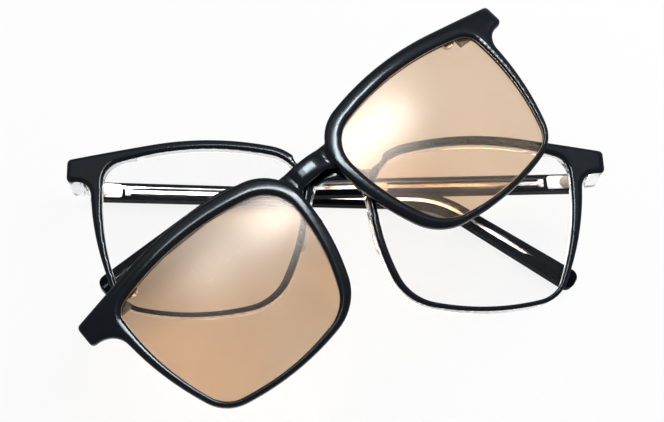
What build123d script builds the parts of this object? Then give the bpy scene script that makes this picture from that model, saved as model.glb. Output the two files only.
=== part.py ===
from build123d import *
import os
from math import acos, atan2, cos, radians, sin, sqrt, tan

os.makedirs("parts", exist_ok=True)

# Optical eyeglasses with a magnetic tinted clip-on, lying face up on their folded temples.
# Lengths are in millimetres. Left and right are as seen from in front of the glasses.
# Every front piece is drawn in the front's own frame: X across, Y up the face, Z out of the face,
# with the origin on the front surface between the two eyes.

# Size of the front
lens_width = 51.8
lens_height = 44.0
bridge_width = 18.6
lens_drop = 6.75
front_radius = 400.0

# Shape of an eye: its corners as shares of the lens box, and the bow of each side as a share of it
# The order is nasal top, temple top, temple bottom, nasal bottom.
corner_shares = ((-0.495, 0.386), (0.498, 0.422), (0.379, -0.430), (-0.342, -0.446))
bow_shares = (0.083, 0.066, 0.077, 0.082)
nasal_top_radius = 11.0
temple_top_radius = 5.0
temple_bottom_radius = 9.0
nasal_bottom_radius = 12.0

# Layers of the optical front, from the front surface backwards
black_layer = 1.1
crystal_layer = 2.6
front_round = 0.5
front_inner_round = 0.3
crystal_round = 0.4

# Rim widths of the optical front
front_nasal_rim = 1.7
front_top_rim = 1.9
front_temple_rim = 3.4
front_low_temple_rim = 0.9
front_bottom_rim = 0.9

# Rim widths of the clip
clip_nasal_rim = 3.2
clip_top_rim = 3.9
clip_temple_rim = 2.9
clip_low_temple_rim = 1.1
clip_bottom_rim = 1.2
clip_thickness = 2.5
clip_end_inset = 1.0
clip_round = 0.6
clip_inner_round = 0.4

# Endpieces, the lugs at the outer ends of the front and of the clip
# Their heights are measured from the upper outer corner of the lens.
end_reach = 9.9
end_top_rise = 2.68
end_bottom_drop = 3.42
end_slope = 1.6
end_corner_round = 1.2
notch_round = 4.6
clip_notch_round = 6.0
clip_end_rise = 0.1

# How far the clip's openings stand inside the front's
clip_nasal_inset = 0.05
clip_top_inset = 0.9
clip_temple_inset = 1.1
clip_low_temple_inset = 0.6
clip_bottom_inset = 0.55

# Bridge band between the eyes
band_top = 10.8
band_arch = 5.0
band_arch_half_width = 6.2
band_root = 8.4
band_leg = 5.0
band_sink = 0.3
band_shoulder = 1.5
band_crest_half_width = 5.4
shoulder_round = 1.2
band_round = 0.4
arch_corner_round = 3.2
band_depth = 2.6
root_overlap = 0.3

# Lenses and the grooves that hold them
lens_thickness = 1.4
lens_depth = 1.5
clip_lens_thickness = 1.0
clip_lens_depth = 0.8
groove = 0.5
fit_gap = 0.03

# Magnets and tabs behind the top rim, measured in from the end of the front and up from the lens corner
magnet_radius = 2.0
magnet_thickness = 1.2
magnet_inset = 16.6
magnet_rise = 1.68
magnet_proud = 0.6
front_magnet_thickness = 1.0
front_magnet_radius = 1.0
front_magnet_inset = 16.0
front_magnet_rise = 3.68
tab_inset = 14.3
tab_drop = 1.82
tab_width = 4.6
tab_height = 3.6

# Nose pads
pad_x = 9.0
pad_y = -7.5
pad_height = 12.0
pad_width = 3.0
pad_reach = 5.5
pad_flare = 1.2
pad_turn = 10.0
pad_thinning = 0.6
pad_round = 0.7

# Hinges, each axis set down from the lens corner, back from the face and in from the end of the front
# The axes are tilted, so that the opened temples slope down to the ears.
hinge_drop = 1.22
hinge_depth = 17.6
hinge_inset = 4.65
hinge_tilt_angle = 10.0
knuckle_radius = 0.95
knuckle_length = 1.2
knuckle_gap = 0.05
screw_radius = 0.55
screw_running_gap = 0.04
knuckle_clearance = 0.15
screw_head_radius = 0.8
screw_head_height = 0.45
leaf_thickness = 0.8
leaf_height = 3.7
leaf_round = 0.9
leaf_length = 8.4
front_leaf_reach = 4.6
boss_radius = 1.8
boss_height = 0.3
boss_place = 3.2
lug_wall = 3.35
lug_root = 8.5
lug_root_cover = 0.28
lug_leaf_gap = 0.5
lug_rear_drop = 1.8
lug_gap = 0.05

# Temples
temple_thickness = 3.3
temple_offset = 1.3
temple_butt_gap = 0.1
temple_height = 4.9
bend_height = 4.5
tip_height = 5.8
left_bend_start = 89.5
right_bend_start = 85.5
bend_radius = 25.0
left_bend_angle = 32.0
right_bend_angle = 38.0
left_tail_length = 37.5
right_tail_length = 35.0
tip_round = 2.2
edge_round = 0.4
inlay_depth = 1.8
inlay_wall = 0.45
inlay_start = 0.9
inlay_end = 9.5
core_thickness = 0.8
core_height = 3.7
core_start = 9.3
core_wide_end = 54.0
core_taper = 5.0
wire_height = 1.3
wire_round = 0.5
core_stop = 4.0
slot_height = 0.7
slot_spacing = 1.7
slot_margin = 1.4

# How the pieces lie on the table: the left temple is flat on it, and the front leans up to the right
left_lean_angle = 7.0
right_lean_angle = -4.0
left_slope_angle = 0.0
right_slope_angle = 1.8
clip_spin = 39.3
clip_shift_x = -2.8
clip_shift_y = 0.95
clip_rest_gap = 0.3

# Extra length for cutting tools, so that they run past what they cut
overrun = 12.0

hands = ((-1, "left"), (1, "right"))
bend_angles = {-1: left_bend_angle, 1: right_bend_angle}
bend_starts = {-1: left_bend_start, 1: right_bend_start}
tail_lengths = {-1: left_tail_length, 1: right_tail_length}
eye_x = (bridge_width + lens_width) / 2
half_width = bridge_width / 2 + lens_width + end_reach
clip_half_width = half_width - clip_end_inset
front_thickness = black_layer + crystal_layer
lens_top = corner_shares[1][1] * lens_height - lens_drop
end_top = lens_top + end_top_rise
end_bottom = lens_top - end_bottom_drop
hinge_height = lens_top - hinge_drop
end_sag = front_radius - sqrt(front_radius**2 - half_width**2 - end_top**2)
lug_root_depth = end_sag + black_layer + lug_root_cover
lug_taper_depth = hinge_depth - front_leaf_reach - lug_leaf_gap
magnet_spot = (half_width - magnet_inset, lens_top + magnet_rise)
front_magnet_spot = (half_width - front_magnet_inset, lens_top + front_magnet_rise)
tab_spot = (half_width - tab_inset + tab_width / 2, lens_top - tab_drop + tab_height / 2)
corner_radii = (nasal_top_radius, temple_top_radius, temple_bottom_radius, nasal_bottom_radius)
front_rims = (
    front_nasal_rim,
    front_top_rim,
    front_temple_rim,
    front_low_temple_rim,
    front_bottom_rim,
)
clip_insets = (
    clip_nasal_inset,
    clip_top_inset,
    clip_temple_inset,
    clip_low_temple_inset,
    clip_bottom_inset,
)
clip_rims = (clip_nasal_rim, clip_top_rim, clip_temple_rim, clip_low_temple_rim, clip_bottom_rim)
clip_growths = tuple(rim - inset for rim, inset in zip(clip_rims, clip_insets))


def eye_corners(rims, hand):
    """Corners of an eye's outline, grown outwards by the rim widths."""
    nasal, top, temple, low_temple, bottom = rims
    growth = ((-nasal, top), (temple, top), (low_temple, -bottom), (-nasal, -bottom))
    return [
        Vector(hand * (eye_x + x * lens_width + dx), y * lens_height - lens_drop + dy)
        for (x, y), (dx, dy) in zip(corner_shares, growth)
    ]


def eye_face(rims, hand):
    """The outline of one eye: four bowed sides with rounded corners."""
    corners = eye_corners(rims, hand)
    with BuildSketch() as eye:
        with BuildLine():
            for start, end, bow in zip(corners, corners[1:] + corners[:1], bow_shares):
                side = end - start
                outward = Vector(-side.Y, side.X) * hand
                ThreePointArc(start, (start + end) / 2 + outward * bow, end)
        make_face()
        for corner, radius in zip(corners, corner_radii):
            fillet(eye.vertices().sort_by_distance(corner)[0], radius + sum(rims) / len(rims))
    return eye.sketch


def top_tangent(rims, hand, outside):
    """Where a straight line from a point outside touches the bowed top side of an eye."""
    start, end = eye_corners(rims, hand)[:2]
    chord = (end - start).length
    sagitta = bow_shares[0] * chord
    radius = chord**2 / (8 * sagitta) + sagitta / 2
    side = (end - start).normalized()
    outward = Vector(-side.Y, side.X) * hand
    centre = (start + end) / 2 - outward * (radius - sagitta)
    reach = outside - centre
    turn = acos(radius / reach.length)
    bearing = atan2(reach.Y, reach.X) + hand * turn
    return centre + Vector(cos(bearing), sin(bearing)) * radius


def rim_face(rims, hand, end, rise, notch_radius):
    """A rim with its endpiece, the eye still filled."""
    high = Vector(hand * end, end_top + rise)
    low = Vector(hand * end, end_bottom)
    eye = eye_face(rims, hand)
    with BuildSketch() as rim:
        add(eye)
        with BuildLine():
            inner = Vector(hand * (eye_x + lens_width / 3), end_bottom - end_slope)
            Polyline(top_tangent(rims, hand, high), high, low, inner, close=True)
        make_face()
        notch = Vector(hand * (eye_x + lens_width / 2 + rims[2]), end_bottom - end_slope / 2)
        fillet(rim.vertices().sort_by_distance(notch)[0], notch_radius)
        for corner in (high, low):
            fillet(rim.vertices().sort_by_distance(corner)[0], end_corner_round)
    return rim.sketch


def band_face():
    """The bridge band with the two legs that run down behind the rims."""
    with BuildSketch() as arch:
        with Locations((0, band_arch)):
            arch_height = band_arch + band_leg + overrun
            Rectangle(2 * band_arch_half_width, arch_height, align=(Align.CENTER, Align.MAX))
        fillet(arch.vertices().group_by(Axis.Y)[-1], arch_corner_round)
    with BuildSketch() as band:
        with Locations((0, band_top)):
            Rectangle(2 * band_root, band_top + band_leg, align=(Align.CENTER, Align.MAX))
        add(arch.sketch, mode=Mode.SUBTRACT)
    return band.sketch


def keep_shell(outer_depth, inner_depth, radius):
    """Keeps what lies between two depths below a ball-shaped front surface."""
    with Locations((0, 0, -radius)):
        Sphere(radius - outer_depth, rotation=(90, 0, 0), mode=Mode.INTERSECT)
        Sphere(radius - inner_depth, rotation=(90, 0, 0), mode=Mode.SUBTRACT)


def front_wires(rims):
    """Edge loops of the front surface of a pair of rims, the two apertures first."""
    front = rims.faces().filter_by(GeomType.SPHERE).sort_by(Axis.Z)[-len(hands):]
    return front.wires().sort_by(SortBy.LENGTH)


def face_spot(x, y, radius, depth):
    """A plane square to a ball-shaped front, at a depth below it."""
    outward = Vector(x, y, sqrt(radius**2 - x**2 - y**2)).normalized()
    across = (Vector(1, 0, 0) - outward * outward.X).normalized()
    return Plane(origin=Vector(0, 0, -radius) + outward * (radius - depth), x_dir=across, z_dir=outward)


def shell_piece(face, outer_depth, inner_depth, radius):
    """A curved sheet of one outline between two depths."""
    with BuildPart() as sheet:
        with BuildSketch(deep):
            add(face)
        extrude(amount=tall)
        keep_shell(outer_depth, inner_depth, radius)
    return sheet.part


def band_block(back):
    """The bridge band: a crowned front with flat shoulders beside the rims, down to a flat back."""
    with BuildPart() as band:
        with BuildSketch(Plane.XZ.offset(-band_top - overrun)) as plan:
            with BuildLine():
                ThreePointArc(
                    (-band_crest_half_width, -band_shoulder),
                    (0, -band_sink),
                    (band_crest_half_width, -band_shoulder),
                )
                Polyline(
                    (band_crest_half_width, -band_shoulder),
                    (band_root, -band_shoulder),
                    (band_root, -back),
                    (-band_root, -back),
                    (-band_root, -band_shoulder),
                    (-band_crest_half_width, -band_shoulder),
                )
            make_face()
            fillet(plan.vertices().group_by(Axis.Y)[1].sort_by(Axis.X)[1:-1], shoulder_round)
        extrude(amount=band_top + band_leg + 2 * overrun)
        with BuildSketch(deep):
            add(bridge_face)
        extrude(amount=tall, mode=Mode.INTERSECT)
        arch_edges = band.edges().filter_by_position(Axis.Z, -band_shoulder - band_round, 0)
        fillet(arch_edges.filter_by(Axis.Y, reverse=True), band_round)
    return band.part


def band_roots():
    """Black roots that join the bridge band to the black sheet of the rims."""
    with BuildPart() as roots:
        with BuildSketch(Plane.XY.offset(-band_depth)):
            for hand, side in hands:
                add(front_faces[hand])
            add(bridge_face, mode=Mode.INTERSECT)
        extrude(amount=band_depth)
        with Locations((0, 0, -front_radius)):
            Sphere(
                front_radius - black_layer + root_overlap,
                rotation=(90, 0, 0),
                mode=Mode.INTERSECT,
            )
    return roots.part


def lug_block(hand):
    """The crystal lug that runs back from an endpiece to the hinge."""
    rear = lug_gap - hinge_depth
    past = rear - lug_wall
    rear_top = end_top - lug_rear_drop
    rear_low = end_bottom - end_slope
    tilt_share = tan(radians(hinge_tilt_angle))
    plan_points = (
        (hand * half_width, -lug_root_depth),
        (hand * half_width, past),
        (hand * (half_width - lug_wall), past),
        (hand * (half_width - lug_wall), -lug_taper_depth),
        (hand * (half_width - lug_root), -lug_root_depth),
    )
    side_points = (
        (rear_low, -lug_root_depth),
        (end_top, -lug_root_depth),
        (rear_top, rear - (rear_top - hinge_height) * tilt_share),
        (rear_low, rear - (rear_low - hinge_height) * tilt_share),
    )
    with BuildPart() as lug:
        with BuildSketch(deep):
            add(front_faces[hand])
        extrude(amount=tall)
        with BuildSketch(Plane.XZ):
            with BuildLine():
                Polyline(*plan_points, close=True)
            make_face()
        extrude(amount=half_width, both=True, mode=Mode.INTERSECT)
        with BuildSketch(Plane.YZ):
            with BuildLine():
                Polyline(*side_points, close=True)
            make_face()
        extrude(amount=2 * half_width, both=True, mode=Mode.INTERSECT)
    return lug.part


def disc(plane, radius, thickness):
    """A round disc reaching down from a plane."""
    with BuildPart() as piece:
        with BuildSketch(plane):
            Circle(radius)
        extrude(amount=-thickness)
    return piece.part


def tab_block(hand, gap):
    """A square-cornered tab behind the upper outer corner of a clip rim, with a gap all round."""
    plane = face_spot(hand * tab_spot[0], tab_spot[1], clip_radius, clip_thickness + magnet_proud)
    with BuildPart() as tab:
        with BuildSketch(plane):
            Rectangle(tab_width + 2 * gap, tab_height + 2 * gap)
        extrude(amount=magnet_thickness + gap)
    return tab.part


def temple_face(hand, start, butt, bend, tip, tail, corner):
    """A side profile that runs straight to the bend, round it and along the tail."""
    turn = radians(bend_angles[hand])

    def arc_spot(height, share):
        reach = bend_radius + height
        x = bend_starts[hand] + reach * sin(share * turn)
        return (x, reach * cos(share * turn) - bend_radius)

    def tail_spot(height):
        x, y = arc_spot(height, 1)
        return (x + tail * cos(turn), y - tail * sin(turn))

    def flipped(*spots):
        return [(-hand * x, y) for x, y in spots]

    top, low, high = bend / 2, -bend / 2, tip / 2
    with BuildSketch() as profile:
        with BuildLine():
            Polyline(*flipped((start, butt / 2), arc_spot(top, 0)))
            ThreePointArc(*flipped(arc_spot(top, 0), arc_spot(top, 1 / 2), arc_spot(top, 1)))
            Polyline(*flipped(arc_spot(top, 1), tail_spot(high), tail_spot(-high), arc_spot(low, 1)))
            ThreePointArc(*flipped(arc_spot(low, 1), arc_spot(low, 1 / 2), arc_spot(low, 0)))
            Polyline(*flipped(arc_spot(low, 0), (start, -butt / 2), (start, butt / 2)))
        make_face()
        for height in (high, -high):
            spot = Vector(*flipped(tail_spot(height))[0])
            fillet(profile.vertices().sort_by_distance(spot)[0], corner)
    return profile.sketch


deep = Plane.XY.offset(-overrun - hinge_depth)
tall = 2 * overrun + hinge_depth
apertures = {hand: eye_face([0 for rim in front_rims], hand) for hand, side in hands}
lens_faces = {hand: eye_face([groove for rim in front_rims], hand) for hand, side in hands}
front_faces = {hand: rim_face(front_rims, hand, half_width, 0, notch_round) for hand, side in hands}
clip_apertures = {hand: eye_face([-inset for inset in clip_insets], hand) for hand, side in hands}
clip_lens_faces = {
    hand: eye_face([groove - inset for inset in clip_insets], hand) for hand, side in hands
}
clip_faces = {
    hand: rim_face(clip_growths, hand, clip_half_width, clip_end_rise, clip_notch_round)
    for hand, side in hands
}
bridge_face = band_face()
front_band = band_block(band_depth)
groove_faces = {
    hand: eye_face([groove + fit_gap for rim in front_rims], hand) for hand, side in hands
}
clip_groove_faces = {
    hand: eye_face([groove + fit_gap - inset for inset in clip_insets], hand)
    for hand, side in hands
}

# Where the front, the temples and the clip lie on the table
axis_x = half_width - hinge_inset
lean = radians(left_lean_angle)
axis_z = temple_offset + temple_thickness
front_rise = axis_z + axis_x * sin(lean) + hinge_depth * cos(lean)
front_plane = Plane(
    origin=(0, -hinge_height, front_rise),
    x_dir=(cos(lean), 0, sin(lean)),
    z_dir=(-sin(lean), 0, cos(lean)),
)
front_seat = front_plane.location
clip_radius = front_radius + magnet_proud + clip_rest_gap + clip_thickness
clip_rise = sqrt(front_radius**2 - clip_shift_x**2 - clip_shift_y**2)
clip_normal = Vector(clip_shift_x, clip_shift_y, clip_rise).normalized()
spin = radians(clip_spin)
clip_across = Vector(cos(spin), sin(spin), 0)
clip_across = (clip_across - clip_normal * clip_across.dot(clip_normal)).normalized()
clip_plane = Plane(
    origin=Vector(0, 0, -front_radius) + clip_normal * clip_radius,
    x_dir=clip_across,
    z_dir=clip_normal,
)
clip_seat = front_seat * clip_plane.location
temple_turns = {-1: left_lean_angle, 1: -right_lean_angle}
temple_slopes = {-1: -left_slope_angle, 1: right_slope_angle}
hinge_spots = {hand: (hand * axis_x, hinge_height, -hinge_depth) for hand, side in hands}
hinge_seats = {hand: Location(spot, (-hinge_tilt_angle, 0, 0)) for hand, spot in hinge_spots.items()}
temple_seats = {
    hand: front_seat
    * Location(spot, (0, temple_turns[hand], 0))
    * Location((0, 0, 0), (0, 0, temple_slopes[hand]))
    for hand, spot in hinge_spots.items()
}
knuckle_seats = {
    hand: temple_seats[hand].inverse() * front_seat * hinge_seats[hand] for hand, side in hands
}


def write(piece, label, seat):
    """Lays a finished piece in its place and writes it."""
    piece.part.label = label
    piece.part.move(seat)
    export_step(piece.part, f"parts/{label}.step")
    print(label, "volume", round(piece.part.volume, 1), "valid", piece.part.is_valid)


# Lenses, clear in the front and tinted in the clip
lens_back = lens_depth + lens_thickness
clip_lens_back = clip_lens_depth + clip_lens_thickness
for hand, side in hands:
    with BuildPart() as lens:
        add(shell_piece(lens_faces[hand], lens_depth, lens_back, front_radius))
    write(lens, f"lens_{side}", front_seat)
    with BuildPart() as clip_lens:
        add(shell_piece(clip_lens_faces[hand], clip_lens_depth, clip_lens_back, clip_radius))
    write(clip_lens, f"clip_lens_{side}", clip_seat)

# Grooves that take the lenses
groove_near = lens_depth - fit_gap
groove_far = lens_back + fit_gap
clip_groove_near = clip_lens_depth - fit_gap
clip_groove_far = clip_lens_back + fit_gap

# Black front layer, a thin gloss sheet with the bridge band
front_roots = band_roots()
with BuildPart() as front_black:
    with BuildSketch(deep):
        for hand, side in hands:
            add(front_faces[hand])
            add(apertures[hand], mode=Mode.SUBTRACT)
    extrude(amount=tall)
    keep_shell(0, black_layer, front_radius)
    fillet(front_wires(front_black)[2:].edges(), front_round)
    fillet(front_wires(front_black)[:2].edges(), front_inner_round)
    add(front_roots)
    add(front_band)
write(front_black, "front_black_face", front_seat)

# Crystal back layer, which carries the lenses, the lugs and the front's own magnets
magnet_spots = {
    hand: face_spot(hand * front_magnet_spot[0], front_magnet_spot[1], front_radius, black_layer)
    for hand, side in hands
}
with BuildPart() as front_crystal:
    with BuildSketch(deep):
        for hand, side in hands:
            add(front_faces[hand])
        add(bridge_face)
        for hand, side in hands:
            add(apertures[hand], mode=Mode.SUBTRACT)
    extrude(amount=tall)
    keep_shell(black_layer, front_thickness, front_radius)
    fillet(front_crystal.faces().filter_by(GeomType.SPHERE).sort_by(Axis.Z)[0].edges(), crystal_round)
    for hand, side in hands:
        add(lug_block(hand))
    with BuildSketch(Plane.XY.offset(-band_depth)):
        add(bridge_face)
    extrude(amount=band_depth, mode=Mode.SUBTRACT)
    for hand, side in hands:
        add(
            shell_piece(groove_faces[hand], groove_near, groove_far, front_radius),
            mode=Mode.SUBTRACT,
        )
        pocket_radius = front_magnet_radius + fit_gap
        pocket_depth = front_magnet_thickness + fit_gap
        add(disc(magnet_spots[hand], pocket_radius, pocket_depth), mode=Mode.SUBTRACT)
write(front_crystal, "front_crystal_back", front_seat)

for hand, side in hands:
    with BuildPart() as front_magnet:
        add(disc(magnet_spots[hand], front_magnet_radius, front_magnet_thickness))
    write(front_magnet, f"front_magnet_{side}", front_seat)

# Clip frame, one moulding with the tinted lenses in its grooves and pockets for magnets and tabs
clip_magnet_depth = clip_thickness + magnet_proud - magnet_thickness
clip_magnet_spots = {
    hand: face_spot(hand * magnet_spot[0], magnet_spot[1], clip_radius, clip_magnet_depth)
    for hand, side in hands
}
with BuildPart() as clip_frame:
    with BuildSketch(deep):
        for hand, side in hands:
            add(clip_faces[hand])
            add(clip_apertures[hand], mode=Mode.SUBTRACT)
    extrude(amount=tall)
    keep_shell(0, clip_thickness, clip_radius)
    fillet(front_wires(clip_frame)[2:].edges(), clip_round)
    fillet(front_wires(clip_frame)[:2].edges(), clip_inner_round)
    add(band_block(clip_thickness + band_shoulder))
    with Locations((0, 0, -clip_radius)):
        Sphere(clip_radius - clip_thickness, rotation=(90, 0, 0), mode=Mode.SUBTRACT)
    for hand, side in hands:
        add(
            shell_piece(clip_groove_faces[hand], clip_groove_near, clip_groove_far, clip_radius),
            mode=Mode.SUBTRACT,
        )
        pocket_radius = magnet_radius + fit_gap
        pocket = clip_magnet_spots[hand].offset(fit_gap)
        add(disc(pocket, pocket_radius, magnet_thickness + fit_gap), mode=Mode.SUBTRACT)
        add(tab_block(hand, fit_gap), mode=Mode.SUBTRACT)
write(clip_frame, "clip_frame", clip_seat)

for hand, side in hands:
    with BuildPart() as clip_magnet:
        add(disc(clip_magnet_spots[hand], magnet_radius, magnet_thickness))
    write(clip_magnet, f"clip_magnet_{side}", clip_seat)
    with BuildPart() as clip_tab:
        add(tab_block(hand, 0))
    write(clip_tab, f"clip_tab_{side}", clip_seat)

# Nose pads, glued behind the nasal rims
for hand, side in hands:
    with BuildPart() as pad:
        far = front_thickness + pad_reach
        upright = 90 + hand * pad_turn
        with BuildSketch(Plane.XY.offset(-black_layer)):
            with Locations((hand * pad_x, pad_y)):
                SlotOverall(pad_height, pad_width, rotation=upright)
        with BuildSketch(Plane.XY.offset(-far)):
            with Locations((hand * (pad_x + pad_flare), pad_y)):
                SlotOverall(pad_height - 2 * pad_thinning, pad_width - pad_thinning, rotation=upright)
        loft()
        fillet(pad.faces().sort_by(Axis.Z)[0].edges(), pad_round)
        with Locations((0, 0, -front_radius)):
            Sphere(front_radius - front_thickness, rotation=(90, 0, 0), mode=Mode.INTERSECT)
    write(pad, f"nose_pad_{side}", front_seat)

# Hinges: a leaf with two knuckles on the front, one with a single knuckle let into the temple
knuckle_step = knuckle_length + knuckle_gap
hinge_span = 3 * knuckle_length + 2 * knuckle_gap
screw_hole_radius = screw_radius + screw_running_gap
sideways = Rotation(90, 0, 0)
for hand, side in hands:
    with BuildPart() as front_leaf:
        with Locations((hand * (half_width - lug_wall), hinge_height, -hinge_depth)):
            Box(
                leaf_thickness,
                leaf_height,
                front_leaf_reach,
                align=(Align.MAX if hand > 0 else Align.MIN, Align.CENTER, Align.MIN),
            )
        with Locations(hinge_seats[hand]):
            Cylinder(
                knuckle_radius + knuckle_clearance,
                knuckle_length + 2 * knuckle_gap,
                rotation=sideways,
                mode=Mode.SUBTRACT,
            )
            with Locations((0, knuckle_step, 0), (0, -knuckle_step, 0)):
                Cylinder(knuckle_radius, knuckle_length, rotation=sideways)
            Cylinder(screw_hole_radius, hinge_span + overrun, rotation=sideways, mode=Mode.SUBTRACT)
    write(front_leaf, f"hinge_front_leaf_{side}", front_seat)

    with BuildPart() as screw:
        with Locations(hinge_seats[hand]):
            Cylinder(screw_radius, hinge_span, rotation=sideways)
            with Locations((0, (hinge_span + screw_head_height) / 2, 0)):
                Cylinder(screw_head_radius, screw_head_height, rotation=sideways)
    write(screw, f"hinge_screw_{side}", front_seat)

# Temples, drawn on their own hinge axis: X along the temple, Y up, Z towards the wearer's head
floor = -temple_offset - inlay_depth
for hand, side in hands:
    seat = temple_seats[hand]
    tail_length = tail_lengths[hand]
    inlay_share = (tail_length - inlay_end) / tail_length
    inlay_tip = bend_height + (tip_height - bend_height) * inlay_share
    outer = temple_face(
        hand, temple_butt_gap, temple_height, bend_height, tip_height, tail_length, tip_round
    )
    channel = temple_face(
        hand,
        inlay_start,
        temple_height - 2 * inlay_wall,
        bend_height - 2 * inlay_wall,
        inlay_tip - 2 * inlay_wall,
        tail_length - inlay_end,
        tip_round - inlay_wall,
    )
    wire = temple_face(
        hand,
        core_wide_end,
        wire_height,
        wire_height,
        wire_height,
        tail_length - inlay_end - core_stop,
        wire_round,
    )

    with BuildPart() as leaf_pocket:
        with Locations((-hand * leaf_length / 2, 0, -temple_offset - leaf_thickness - fit_gap)):
            Box(
                leaf_length + 2 * fit_gap,
                leaf_height + 2 * fit_gap,
                overrun,
                align=(Align.CENTER, Align.CENTER, Align.MIN),
            )

    with BuildPart() as core:
        with BuildSketch(Plane.XY.offset(floor)):
            half = core_height / 2
            neck = core_wide_end + core_taper
            with BuildLine():
                Polyline(
                    (-hand * core_start, half),
                    (-hand * core_wide_end, half),
                    (-hand * neck, wire_height / 2),
                    (-hand * neck, -wire_height / 2),
                    (-hand * core_wide_end, -half),
                    (-hand * core_start, -half),
                    close=True,
                )
            make_face()
            add(wire)
            slot_length = core_wide_end - core_start - 2 * slot_margin
            with Locations((-hand * (core_wide_end + core_start) / 2, 0)):
                with Locations((0, slot_spacing / 2), (0, -slot_spacing / 2)):
                    SlotOverall(slot_length, slot_height, mode=Mode.SUBTRACT)
        extrude(amount=core_thickness)

    with BuildPart() as inlay:
        with BuildSketch(Plane.XY.offset(floor)):
            add(channel)
        extrude(amount=inlay_depth)
        add(core.part, mode=Mode.SUBTRACT)
        add(leaf_pocket.part, mode=Mode.SUBTRACT)

    with BuildPart() as black:
        with BuildSketch(Plane.XY.offset(-temple_offset - temple_thickness)):
            add(outer)
        extrude(amount=temple_thickness)
        broad = black.faces().filter_by(Axis.Z)
        fillet(broad.edges(), edge_round)
        with BuildSketch(Plane.XY.offset(floor)):
            add(channel)
        extrude(amount=overrun, mode=Mode.SUBTRACT)
        add(leaf_pocket.part, mode=Mode.SUBTRACT)

    with BuildPart() as leaf:
        with Locations((-hand * temple_butt_gap, 0, -temple_offset)):
            Box(
                leaf_length - temple_butt_gap,
                leaf_height,
                leaf_thickness,
                align=(Align.MAX if hand > 0 else Align.MIN, Align.CENTER, Align.MAX),
            )
        far_corners = leaf.edges().filter_by(Axis.Z).group_by(Axis.X)[0 if hand > 0 else -1]
        fillet(far_corners, leaf_round)
        with Locations(knuckle_seats[hand]):
            with Locations((-hand * temple_butt_gap, 0, 0)):
                Box(
                    knuckle_radius,
                    knuckle_length,
                    temple_offset + leaf_thickness / 2,
                    align=(Align.MAX if hand > 0 else Align.MIN, Align.CENTER, Align.MAX),
                )
            Cylinder(knuckle_radius, knuckle_length, rotation=sideways)
            Cylinder(screw_hole_radius, hinge_span, rotation=sideways, mode=Mode.SUBTRACT)
        with Locations((-hand * boss_place, 0, -temple_offset)):
            Cylinder(boss_radius, boss_height, align=(Align.CENTER, Align.CENTER, Align.MIN))

    write(black, f"temple_{side}_black", seat)
    write(inlay, f"temple_{side}_crystal", seat)
    write(core, f"temple_{side}_core", seat)
    write(leaf, f"hinge_temple_leaf_{side}", seat)
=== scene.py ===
from math import cos, pi, radians, sin, sqrt

import bmesh
import bpy
from mathutils import Matrix, Vector


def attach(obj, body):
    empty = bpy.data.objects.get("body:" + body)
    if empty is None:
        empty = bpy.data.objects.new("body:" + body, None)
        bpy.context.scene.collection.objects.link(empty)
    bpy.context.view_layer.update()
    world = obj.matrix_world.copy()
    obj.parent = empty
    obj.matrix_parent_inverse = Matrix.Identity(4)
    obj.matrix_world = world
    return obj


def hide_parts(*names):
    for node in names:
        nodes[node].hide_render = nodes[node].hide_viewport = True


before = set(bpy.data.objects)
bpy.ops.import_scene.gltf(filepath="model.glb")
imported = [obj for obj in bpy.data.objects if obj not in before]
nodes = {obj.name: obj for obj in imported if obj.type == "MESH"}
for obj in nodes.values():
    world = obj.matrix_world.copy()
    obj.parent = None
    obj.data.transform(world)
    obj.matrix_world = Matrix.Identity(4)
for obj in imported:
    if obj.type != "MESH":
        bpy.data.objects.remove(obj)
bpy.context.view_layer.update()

# Viewpoint and picture.
# The glasses lie on a pale table and are seen from in front and well above,
# with the camera where the photograph was taken.
scene = bpy.context.scene
scene.view_settings.view_transform = "Standard"
camera = bpy.data.objects.new("camera", bpy.data.cameras.new("camera"))
scene.collection.objects.link(camera)
camera.location = (-0.05075, -0.12805, 0.33332)
camera.rotation_euler = [radians(turn) for turn in (20.565, -8.527, -1.653)]
camera.data.lens = 69.63
camera.data.sensor_width = 36
camera.data.clip_start = 0.01
scene.camera = camera

# Gloss black front of the glasses, with the bridge.
# The front sheet is polished black acetate, laminated on a clear back and tumbled until its edges
# are soft, so it shows the studio as smooth streaks with a very faint ripple.
MM = 0.001
HANDS = {"left": -1, "right": 1}
LEAN = radians(7)
FRONT_ORIGIN = Vector((0, -10.598, 30.155)) * MM
FRONT_UP = Vector((-sin(LEAN), 0, cos(LEAN)))
FRONT_CURVE = 400 * MM
BALL = FRONT_ORIGIN - FRONT_UP * FRONT_CURVE
WORN_DEPTH = 0.85 * MM
WORN_FADE = 0.3 * MM
GRID = 0.15 * MM
BLACKS = ((0.001, 0.002, 0.004), (0.002, 0.003, 0.006))
COOL_SHINE = (0.82, 0.94, 1.0)
ACETATE_IOR = 1.47
SAME_SPOT = 0.001 * MM


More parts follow.
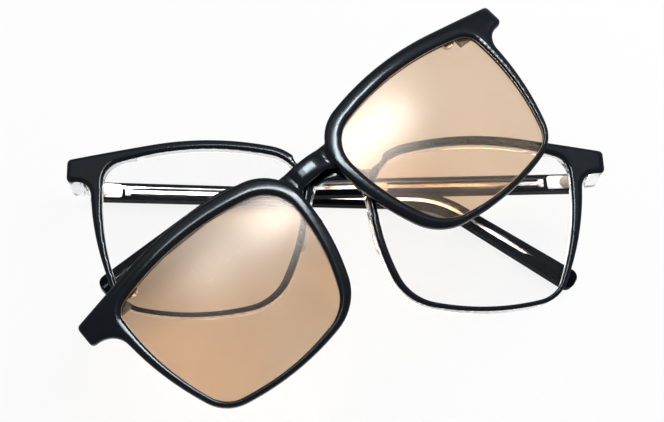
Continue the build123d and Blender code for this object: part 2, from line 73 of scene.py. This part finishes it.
class Value:
    """A socket that takes part in sums: each operator adds one Math node."""

    def __init__(self, paint, socket):
        self.paint = paint
        self.socket = socket

    def math(self, operation, *others):
        return self.paint.node("ShaderNodeMath", [self, *others], operation=operation)

    def __add__(self, other):
        return self.math("ADD", other)

    def __sub__(self, other):
        return self.math("SUBTRACT", other)

    def __rsub__(self, other):
        return self.paint.node("ShaderNodeMath", [other, self], operation="SUBTRACT")

    def __mul__(self, other):
        return self.math("MULTIPLY", other)

    def __truediv__(self, other):
        return self.math("DIVIDE", other)

    def __pow__(self, other):
        return self.math("POWER", other)

    def __gt__(self, other):
        return self.math("GREATER_THAN", other)

    def __lt__(self, other):
        return self.math("LESS_THAN", other)

    def __abs__(self):
        return self.math("ABSOLUTE")

    __radd__ = __add__
    __rmul__ = __mul__

    def band(self, low, high, start=0.0, end=1.0):
        """Rises smoothly from start to end while the value goes from low to high."""
        return self.paint.node(
            "ShaderNodeMapRange",
            {"Value": self, "From Min": low, "From Max": high, "To Min": start, "To Max": end},
            interpolation_type="SMOOTHSTEP",
        )

    def spread(self, least, most):
        """Takes the patches of a noise between two near values, such as of gloss."""
        return self.band(0.2, 0.9, least, most)


class Paint:
    """One material, or the world, its nodes made by type, settings and inputs."""

    def __init__(self, name, library=bpy.data.materials):
        self.owner = library.new(name)
        self.owner.use_nodes = True
        self.tree = self.owner.node_tree
        self.tree.nodes.clear()

    def node(self, kind, inputs=(), output=0, **settings):
        made = self.tree.nodes.new(kind)
        for name, value in settings.items():
            setattr(made, name, value)
        pairs = inputs.items() if isinstance(inputs, dict) else enumerate(inputs)
        for key, value in pairs:
            socket = made.inputs[key]
            if isinstance(value, Value):
                self.tree.links.new(value.socket, socket)
            elif hasattr(value, "__len__") and socket.type == "RGBA" and len(value) == 3:
                socket.default_value = (*value, 1)
            else:
                socket.default_value = value
        return Value(self, made.outputs[output]) if made.outputs else made

    def place(self):
        return self.node("ShaderNodeTexCoord", output="Object")

    def along(self, start, direction):
        """How far a point lies from start, measured along a direction."""
        apart = self.node("ShaderNodeVectorMath", [self.place(), start], operation="SUBTRACT")
        return self.node(
            "ShaderNodeVectorMath", [apart, direction], output=1, operation="DOT_PRODUCT"
        )

    def noise(self, scale, detail, stretch=None):
        spot = self.place()
        if stretch:
            spot = self.node("ShaderNodeMapping", {"Vector": spot, "Scale": stretch})
        return self.node("ShaderNodeTexNoise", {"Vector": spot, "Scale": scale, "Detail": detail})

    def blend(self, share, first, second):
        """Mixes two colours."""
        made = self.node("ShaderNodeMix", {"Factor": share}, data_type="RGBA", output=2)
        for key, value in (("A_Color", first), ("B_Color", second)):
            socket = next(s for s in made.socket.node.inputs if s.identifier == key)
            if isinstance(value, Value):
                self.tree.links.new(value.socket, socket)
            else:
                socket.default_value = (*value, 1)
        return made

    def mottle(self, patches, first, second):
        """Two near colours, in the soft patches of a noise."""
        return self.blend(patches.band(0.3, 0.8), first, second)

    def bump(self, height, distance, strength=1.0):
        return self.node(
            "ShaderNodeBump", {"Height": height, "Distance": distance, "Strength": strength}
        )

    def surface(self, **inputs):
        """A Principled surface; underscores in the names stand for spaces."""
        named = {name.replace("_", " "): value for name, value in inputs.items()}
        return self.node("ShaderNodeBsdfPrincipled", named)

    def black(self, patches, **inputs):
        """Polished black acetate, a hair lighter in patches, with a cool shine."""
        return self.surface(
            Base_Color=self.mottle(patches, *BLACKS),
            IOR=ACETATE_IOR,
            Specular_Tint=COOL_SHINE,
            **inputs,
        )

    def done(self, shader, output="ShaderNodeOutputMaterial"):
        self.node(output, [shader])
        return self.owner

    def lit_through(self, shader, colour):
        """Lets the lamps' light through a clear piece, so that it throws no black shadow."""
        lamp_ray = self.node("ShaderNodeLightPath", output="Is Shadow Ray")
        gap = self.node("ShaderNodeBsdfTransparent", [colour])
        return self.done(self.node("ShaderNodeMixShader", [lamp_ray, shader, gap]))


def baked(carrier):
    """The mesh of an object as its modifiers leave it."""
    bpy.context.view_layer.update()
    return bpy.data.meshes.new_from_object(
        carrier.evaluated_get(bpy.context.evaluated_depsgraph_get())
    )


def trimmed(name, label, cutter):
    """A copy of a CAD piece, with what lies inside the cutter taken off if there is one."""
    piece = bpy.data.objects.new(label, nodes[name].data.copy())
    scene.collection.objects.link(piece)
    if cutter:
        piece.modifiers.new("weld", "WELD").merge_threshold = SAME_SPOT
        trim = piece.modifiers.new("trim", "BOOLEAN")
        trim.operation = "DIFFERENCE"
        trim.object = cutter
        piece.data = baked(piece)
        piece.modifiers.clear()
        bpy.data.objects.remove(cutter)
    return piece


def tumbled(name, body, finish, passes, shine, keep=None, cutter=None):
    """A copy of a CAD piece, trimmed by a cutter and worn round by a polishing drum.

    The drum takes the edges off in a few passes, and many more give the soft crown of the shine.
    """
    rough = trimmed(name, f"{name}_rough", cutter)
    grid = rough.modifiers.new("grid", "REMESH")
    grid.mode = "VOXEL"
    grid.voxel_size = GRID
    rough.data = baked(rough)
    rough.modifiers.clear()
    wear = rough.modifiers.new("wear", "SMOOTH")
    wear.factor = 0.5
    if keep:
        group = rough.vertex_groups.new(name="worn")
        wear.vertex_group = "worn"
        for vertex in rough.data.vertices:
            share = keep(vertex.co)
            if share > 0:
                group.add([vertex.index], share, "ADD")
    wear.iterations = passes
    mesh = baked(rough)
    wear.iterations = shine
    crown = baked(rough)
    bpy.data.objects.remove(rough)
    mesh.polygons.foreach_set("use_smooth", [True] * len(mesh.polygons))
    mesh.normals_split_custom_set_from_vertices([v.normal for v in crown.vertices])
    mesh.materials.clear()
    mesh.materials.append(finish)
    piece = bpy.data.objects.new(f"{name}_tumbled", mesh)
    scene.collection.objects.link(piece)
    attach(piece, body)
    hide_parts(name)


gloss = Paint("polished black acetate")
ripple = gloss.noise(140.0, 2.0)
smear = gloss.noise(420.0, 3.0)
gloss_black = gloss.done(
    gloss.black(
        smear,
        Roughness=smear.spread(0.11, 0.14),
        Specular_IOR_Level=0.12,
        Normal=gloss.bump(ripple, 0.01 * MM, 0.3),
    )
)


def outer_edge(spot):
    """Full wear on the outer skin of the black sheet, none where the clear back is bonded on."""
    depth = FRONT_CURVE - (spot - BALL).length
    return min(max((WORN_DEPTH - depth) / WORN_FADE, 0), 1)


CUT_HALF_HEIGHT = 10
DIP_X, DIP_Y = 7.2, 8.2
CROWN_HALF_RISE = 1.2
ROOT_RADIUS = 4.6
CUT_STEP = 0.2
CUT_TOP = 20
LEG_INNER, LEG_END = 4.5, -5.2


def prism(build, outline):
    """Adds a tall prism of an outline, drawn in millimetres on the front's own plane."""
    low = -CUT_HALF_HEIGHT * MM
    face = build.faces.new([build.verts.new((x * MM, y * MM, low)) for x, y in outline])
    grown = bmesh.ops.extrude_face_region(build, geom=[face])["geom"]
    moved = [part for part in grown if isinstance(part, bmesh.types.BMVert)]
    bmesh.ops.translate(build, verts=moved, vec=(0, 0, -2 * low))


def band_edge(x):
    """The band's upper edge: a low crown, a dip on each side, and a round root up to the rim."""
    away = abs(x)
    if away < DIP_X:
        return DIP_Y + CROWN_HALF_RISE * (1 + cos(pi * x / DIP_X))
    return DIP_Y + ROOT_RADIUS - sqrt(max(ROOT_RADIUS**2 - (away - DIP_X) ** 2, 0))


def bridge_cutter(leg):
    """Curves the band's upper edge down into the rims, and tapers the two legs under the arch."""
    build = bmesh.new()
    reach = DIP_X + ROOT_RADIUS
    last = round(reach / CUT_STEP)
    upper = [(step * CUT_STEP, band_edge(step * CUT_STEP)) for step in range(-last, last + 1)]
    prism(build, [*upper, (reach, CUT_TOP), (-reach, CUT_TOP)])
    for hand in HANDS.values():
        prism(build, [(hand * x, y) for x, y in (*leg, (LEG_INNER, LEG_END))])
    bmesh.ops.recalc_face_normals(build, faces=build.faces)
    mesh = bpy.data.meshes.new("bridge_cutter")
    build.to_mesh(mesh)
    build.free()
    cutter = bpy.data.objects.new("bridge_cutter", mesh)
    scene.collection.objects.link(cutter)
    cutter.matrix_world = Matrix.Translation(FRONT_ORIGIN) @ Matrix.Rotation(-LEAN, 4, "Y")
    return cutter


black_leg = bridge_cutter([(LEG_INNER, 4.0), (6.3, 4.0), (7.2, 0.5), (8.5, LEG_END)])
tumbled(
    "front_black_face",
    "front",
    gloss_black,
    passes=12,
    shine=160,
    keep=outer_edge,
    cutter=black_leg,
)

# Crystal back of the front.
# The back half of the sandwich is clear acetate, a bright glassy edge inside the rims and the clear
# lugs under the endpieces. It is trimmed at the bridge like the black sheet.
CRYSTAL_IOR = 1.49
CRYSTAL_SHADOW = (0.93, 0.94, 0.95)
CRISP_FROM = radians(35)
clear = Paint("crystal acetate")
haze = clear.noise(260.0, 3.0)
crystal = clear.lit_through(
    clear.surface(
        Base_Color=clear.mottle(haze, (0.96, 0.97, 0.98), (0.99, 0.99, 1.0)),
        Roughness=haze.spread(0.0, 0.03),
        IOR=CRYSTAL_IOR,
        Transmission_Weight=1.0,
        Normal=clear.bump(haze, 0.02 * MM, 0.3),
    ),
    CRYSTAL_SHADOW,
)
clear_leg = bridge_cutter([(LEG_INNER, 2.5), (6.2, 2.5), (8.0, LEG_END)])
back = trimmed("front_crystal_back", "front_crystal_trimmed", clear_leg)
back.data.set_sharp_from_angle(angle=CRISP_FROM)
back.data.materials.clear()
back.data.materials.append(crystal)
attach(back, "front")
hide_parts("front_crystal_back")

# Clear lenses of the glasses.
# Coated plastic lenses, ground to the rims and snapped into a groove in the clear back.
# They are almost invisible but for a faint cool reflection.


def finish_node(name, material):
    """Gives a CAD piece its material."""
    piece = nodes[name]
    piece.data.materials.clear()
    piece.data.materials.append(material)


glass = Paint("coated clear lens")
bloom = glass.noise(60.0, 2.0)
clear_lens = glass.done(
    glass.surface(
        Base_Color=(0.2, 0.21, 0.22),
        Roughness=bloom.spread(0.02, 0.05),
        Alpha=bloom.spread(0.02, 0.03),
        Specular_IOR_Level=0.1,
    )
)
for side in HANDS:
    finish_node(f"lens_{side}", clear_lens)

# Nose pads.
# Small pads of the same clear acetate as the back.
# They are glued on behind the nasal rims and polished.
for side in HANDS:
    finish_node(f"nose_pad_{side}", crystal)

# Magnets in the front and in the clip.
# Small nickel-plated discs, pressed into pockets.
# The front's own lie hidden behind the black sheet, and the clip's stand a little proud.
plated = Paint("nickel plated magnet")
grain = plated.noise(900.0, 3.0)
magnet = plated.done(
    plated.surface(
        Base_Color=(0.55, 0.55, 0.56),
        Metallic=1.0,
        Roughness=grain.spread(0.2, 0.32),
    )
)
for side in HANDS:
    finish_node(f"front_magnet_{side}", magnet)
    finish_node(f"clip_magnet_{side}", magnet)

# Hinge barrels, front leaves and screws.
# Bright nickel. The front's leaf is let into the clear lug, and a headed screw holds its barrels to
# the temple's.
nickel = Paint("bright nickel")
brush = nickel.noise(700.0, 3.0, stretch=(1.0, 6.0, 6.0))
bright_metal = nickel.done(
    nickel.surface(
        Base_Color=nickel.mottle(brush, (0.80, 0.78, 0.74), (0.90, 0.89, 0.87)),
        Metallic=1.0,
        Roughness=brush.spread(0.16, 0.3),
        Normal=nickel.bump(brush, 0.02 * MM, 0.5),
    )
)
for side in HANDS:
    for name in (f"hinge_front_leaf_{side}", f"hinge_screw_{side}"):
        finish_node(name, bright_metal)

# Temples with their hinge leaves.
# Black acetate, with a clear inlay let into the inner side over a slotted nickel core. The black
# wraps over the inlay's edges. The leaf is let in at the butt and held by a round boss, whose dull
# brown is a painted reflection.

# Each temple has its pin, its lean and slope in degrees, and where and how far it bends.
TEMPLES = {
    "left": ((-63.711, 0, 4.6), 0, 0, 89.5, 32),
    "right": ((68.0, 0, 20.772), 3, 1.8, 85.5, 38),
}
BEND = 25 * MM
CROWN = 0.04
BOSS_REACH = 3.2
BOSS_REFLECTION_EDGE = (1.7, 1.95)
BITE = 0.005 * MM

# Half widths of the clear line, wide over the core and narrow over the wire, and where along the
# temple it narrows and closes.
WIDE_LINE, WIRE_LINE, SHUT_BY = 1.35, 0.72, 0.75
NARROWS = (56, 60)
CLOSES = (118, 124)


def along_temple(paint, side, hand):
    """Distances along a temple and across it, which follow its bend."""
    pin, lean, slope, bend_start, bend_angle = TEMPLES[side]
    turn = Matrix.Rotation(-radians(lean), 3, "Y") @ Matrix.Rotation(radians(slope), 3, "Z")
    reach = paint.along(Vector(pin) * MM, turn @ Vector((-hand, 0, 0)))
    rise = paint.along(Vector(pin) * MM, turn @ Vector((0, 1, 0)))
    past = reach - bend_start * MM
    drop = rise + BEND
    arc = (past * past + drop * drop) ** 0.5 - BEND
    swing = radians(bend_angle)
    tail = past * sin(swing) + drop * cos(swing) - BEND
    bent = past > 0
    straight_tail = bent * (drop * (sin(swing) / cos(swing)) < past)
    across = rise * (1 - bent) + arc * (bent - straight_tail) + tail * straight_tail
    return reach / MM, abs(across) / MM


def black_skin(paint, across):
    """Black acetate whose shine is crowned across the temple."""
    return paint.black(
        paint.noise(420.0, 3.0),
        Roughness=0.08,
        Specular_IOR_Level=0.01,
        Normal=paint.bump(across * across * -CROWN, MM),
    )


def swell(name):
    """Lets a piece bite a hair into the clear acetate that is moulded round it."""
    skin = nodes[name].modifiers.new("bite", "DISPLACE")
    skin.mid_level = 0
    skin.strength = BITE


core_paint = Paint("brushed core")
drawn = core_paint.noise(500.0, 3.0, stretch=(1.0, 8.0, 8.0))
core_metal = core_paint.done(
    core_paint.surface(
        Base_Color=core_paint.mottle(drawn, (0.70, 0.67, 0.63), (0.88, 0.87, 0.85)),
        Metallic=1.0,
        Roughness=drawn.spread(0.14, 0.22),
    )
)
for side, hand in HANDS.items():
    leaf = Paint(f"hinge leaf {side}")
    reach, across = along_temple(leaf, side, hand)
    # Inside the boss's round edge the leaf is painted dull brown, a painted reflection.
    boss = ((reach - BOSS_REACH) ** 2 + across * across) ** 0.5
    scuff = leaf.noise(700.0, 3.0, stretch=(1.0, 6.0, 6.0))
    plate = leaf.mottle(scuff, (0.86, 0.85, 0.83), (0.95, 0.94, 0.93))
    leaf_metal = leaf.done(
        leaf.surface(
            Base_Color=leaf.blend(boss.band(*BOSS_REFLECTION_EDGE), (0.24, 0.195, 0.15), plate),
            Metallic=1.0,
            Roughness=scuff.spread(0.3, 0.4),
            Normal=leaf.bump(scuff, 0.02 * MM, 0.3),
        )
    )
    finish_node(f"hinge_temple_leaf_{side}", leaf_metal)

    outer = Paint(f"temple skin {side}")
    across = along_temple(outer, side, hand)[1]
    finish_node(f"temple_{side}_black", outer.done(black_skin(outer, across)))

    inlay = Paint(f"clear inlay {side}")
    reach, across = along_temple(inlay, side, hand)
    open_half = reach.band(*NARROWS, WIDE_LINE, WIRE_LINE) - reach.band(*CLOSES, 0, SHUT_BY)
    cloud = inlay.noise(200.0, 3.0)
    glassy = inlay.surface(
        Base_Color=inlay.mottle(cloud, (0.95, 0.96, 0.97), (0.99, 0.99, 1.0)),
        Roughness=cloud.spread(0.0, 0.03),
        IOR=CRYSTAL_IOR,
        Transmission_Weight=1.0,
    )
    wrapped = inlay.node(
        "ShaderNodeMixShader", [across > open_half, glassy, black_skin(inlay, across)]
    )
    finish_node(f"temple_{side}_crystal", inlay.lit_through(wrapped, CRYSTAL_SHADOW))
    finish_node(f"temple_{side}_core", core_metal)
    swell(f"temple_{side}_black")
    swell(f"temple_{side}_core")

# Clip frame.
# One black moulding, rims, bridge and endpieces in one, tumbled like the front.
# Its polish is a little softer than that of the glasses.
moulded = Paint("moulded black clip")
wave = moulded.noise(110.0, 2.0)
orange_peel = moulded.noise(500.0, 2.0)
clip_black = moulded.done(
    moulded.black(
        wave,
        Roughness=orange_peel.spread(0.13, 0.16),
        Specular_IOR_Level=0.12,
        Normal=moulded.bump(wave, 0.01 * MM, 0.3),
    )
)
tumbled("clip_frame", "clip", clip_black, passes=22, shine=340)

# Tinted lenses of the clip.
# Tan plastic lenses, dyed through and glossy, set in the clip's grooves.
# The lights overhead bloom on them as a soft glare.
tint = Paint("tan tinted lens")
film = tint.noise(50.0, 2.0)
tinted_lens = tint.lit_through(
    tint.surface(
        Base_Color=tint.blend(film.band(0.2, 0.9), (0.69, 0.525, 0.38), (0.72, 0.555, 0.41)),
        Roughness=0.0,
        IOR=1.01,
        Transmission_Weight=1.0,
        Coat_Weight=1.0,
        Coat_IOR=1.2,
        Coat_Roughness=0.2,
    ),
    (0.866, 0.755, 0.64),
)
for side in HANDS:
    finish_node(f"clip_lens_{side}", tinted_lens)

# Painted edge lines of the tinted lenses.
# A thin golden brown ring is painted on each tan lens's face where it meets the black rim: a
# painted refraction, for the light that the lens's ground edge gathers.
GROOVE_COVER = 0.45 * MM
LINE_WIDTH = 0.28 * MM
LINE_THICKNESS = 0.12 * MM
FACES_UP = 0.8
# The ring's golden brown is a painted refraction of the lens edge.
edge_refraction_paint = Paint("painted lens edge refraction")
uneven = edge_refraction_paint.noise(90.0, 2.0)
painted_edge_refraction = edge_refraction_paint.done(
    edge_refraction_paint.surface(
        Base_Color=edge_refraction_paint.blend(uneven.band(0.3, 0.7), (0.12, 0.055, 0.02), (0.34, 0.19, 0.09)),
        Roughness=uneven.spread(0.25, 0.4),
    )
)


def ring(build, width):
    """Insets a lens face and gives back the ring of faces round its edge."""
    return bmesh.ops.inset_region(
        build, faces=build.faces[:], thickness=width, use_even_offset=True, use_boundary=True
    )["faces"]


for side in HANDS:
    rim = bmesh.new()
    rim.from_mesh(nodes[f"clip_lens_{side}"].data)
    bmesh.ops.remove_doubles(rim, verts=rim.verts, dist=SAME_SPOT)
    hidden = [face for face in rim.faces if face.normal.dot(FRONT_UP) < FACES_UP]
    bmesh.ops.delete(rim, geom=hidden, context="FACES")
    bmesh.ops.delete(rim, geom=ring(rim, GROOVE_COVER), context="FACES")
    middle = rim.faces[:]
    ring(rim, LINE_WIDTH)
    bmesh.ops.delete(rim, geom=middle, context="FACES")
    line_mesh = bpy.data.meshes.new(f"clip_lens_painted_edge_line_{side}")
    rim.to_mesh(line_mesh)
    rim.free()
    line = bpy.data.objects.new(f"clip_lens_painted_edge_line_{side}", line_mesh)
    scene.collection.objects.link(line)
    body = line.modifiers.new("body", "SOLIDIFY")
    body.thickness = LINE_THICKNESS
    body.offset = 1
    line_mesh.materials.append(painted_edge_refraction)
    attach(line, "clip")

# Tabs behind the clip's outer corners.
# Square satin plastic pads, glued on beside the magnets.
satin = Paint("satin tab")
fine = satin.noise(1500.0, 2.0)
tab = satin.done(
    satin.surface(
        Base_Color=(0.035, 0.036, 0.04),
        Roughness=fine.spread(0.4, 0.55),
        Normal=satin.bump(fine, 0.02 * MM, 0.5),
    )
)
for side in HANDS:
    finish_node(f"clip_tab_{side}", tab)

# Table and light.
# A white table that keeps a faint shadow, a white surround, and lamps overhead. Two strips show
# only as shine on the rims and bloom on the tinted lenses. The key lamp lights, but doesn't show.
WHITE = (1, 1, 1)
TABLE_HALF = 1.5
TABLE_DROP = 0.2 * MM
GLOW_SEEN, GLOW_THROUGH = 0.9, 0.1
AIR_LIGHT = 0.35
AIM = Vector((0, 0, 20)) * MM
table = Paint("white table")
straight = table.node("ShaderNodeLightPath", output="Is Camera Ray")
mirrored = table.node("ShaderNodeLightPath", output="Is Glossy Ray")
through = table.node("ShaderNodeLightPath", output="Is Transmission Ray")
seen = straight.math("MAXIMUM", mirrored * (1 - through))
matt = table.node("ShaderNodeBsdfDiffuse", {"Color": (0.62, 0.62, 0.62)})
glow = table.node("ShaderNodeEmission", {"Color": WHITE, "Strength": 1.0})
share = seen * GLOW_SEEN + through * GLOW_THROUGH
table_white = table.done(table.node("ShaderNodeMixShader", [share, matt, glow]))
floor_mesh = bpy.data.meshes.new("table")
floor_build = bmesh.new()
bmesh.ops.create_grid(floor_build, x_segments=1, y_segments=1, size=TABLE_HALF)
floor_build.to_mesh(floor_mesh)
floor_build.free()
floor = bpy.data.objects.new("table", floor_mesh)
floor.location.z = -TABLE_DROP
floor_mesh.materials.append(table_white)
scene.collection.objects.link(floor)

air = Paint("studio", bpy.data.worlds)
looked_at = air.node("ShaderNodeLightPath", output="Is Camera Ray")
for ray in ("Is Transmission Ray", "Is Glossy Ray"):
    looked_at = looked_at.math("MAXIMUM", air.node("ShaderNodeLightPath", output=ray))
surround = air.node("ShaderNodeBackground", [WHITE, AIR_LIGHT])
backdrop = air.node("ShaderNodeBackground", [WHITE, 1.0])
scene.world = air.done(
    air.node("ShaderNodeMixShader", [looked_at, surround, backdrop]), "ShaderNodeOutputWorld"
)

# Each lamp has its place, width and height, turn and brightness, whether it lights matt things, and
# whether it shows as shine.
LAMPS = (
    ("strip sheen", (-0.058, 0.240, 0.570), (0.30, 0.042), 40.1, 150.0, False, True),
    ("strip end sheen", (-0.215, 0.108, 0.560), (0.10, 0.042), 40.1, 60.0, False, True),
    ("wide soft box", (-0.06, 0.34, 0.60), (1.0, 0.34), 0.0, 1.5, True, True),
    ("key soft box", (0.30, 0.30, 0.50), (0.4, 0.4), 0.0, 9.0, True, False),
)
for name, spot, (wide, tall), turn, brightness, lights, shines in LAMPS:
    lamp = bpy.data.objects.new(name, bpy.data.lights.new(name, "AREA"))
    lamp.data.shape = "RECTANGLE"
    lamp.data.size = wide
    lamp.data.size_y = tall
    lamp.data.energy = brightness * pi * wide * tall
    tilt = Vector((0, 0, 1)).rotation_difference(Vector(spot) - AIM)
    lamp.matrix_world = (
        Matrix.Translation(spot)
        @ tilt.to_matrix().to_4x4()
        @ Matrix.Rotation(radians(turn), 4, "Z")
    )
    lamp.visible_diffuse = lights
    lamp.visible_glossy = shines
    scene.collection.objects.link(lamp)
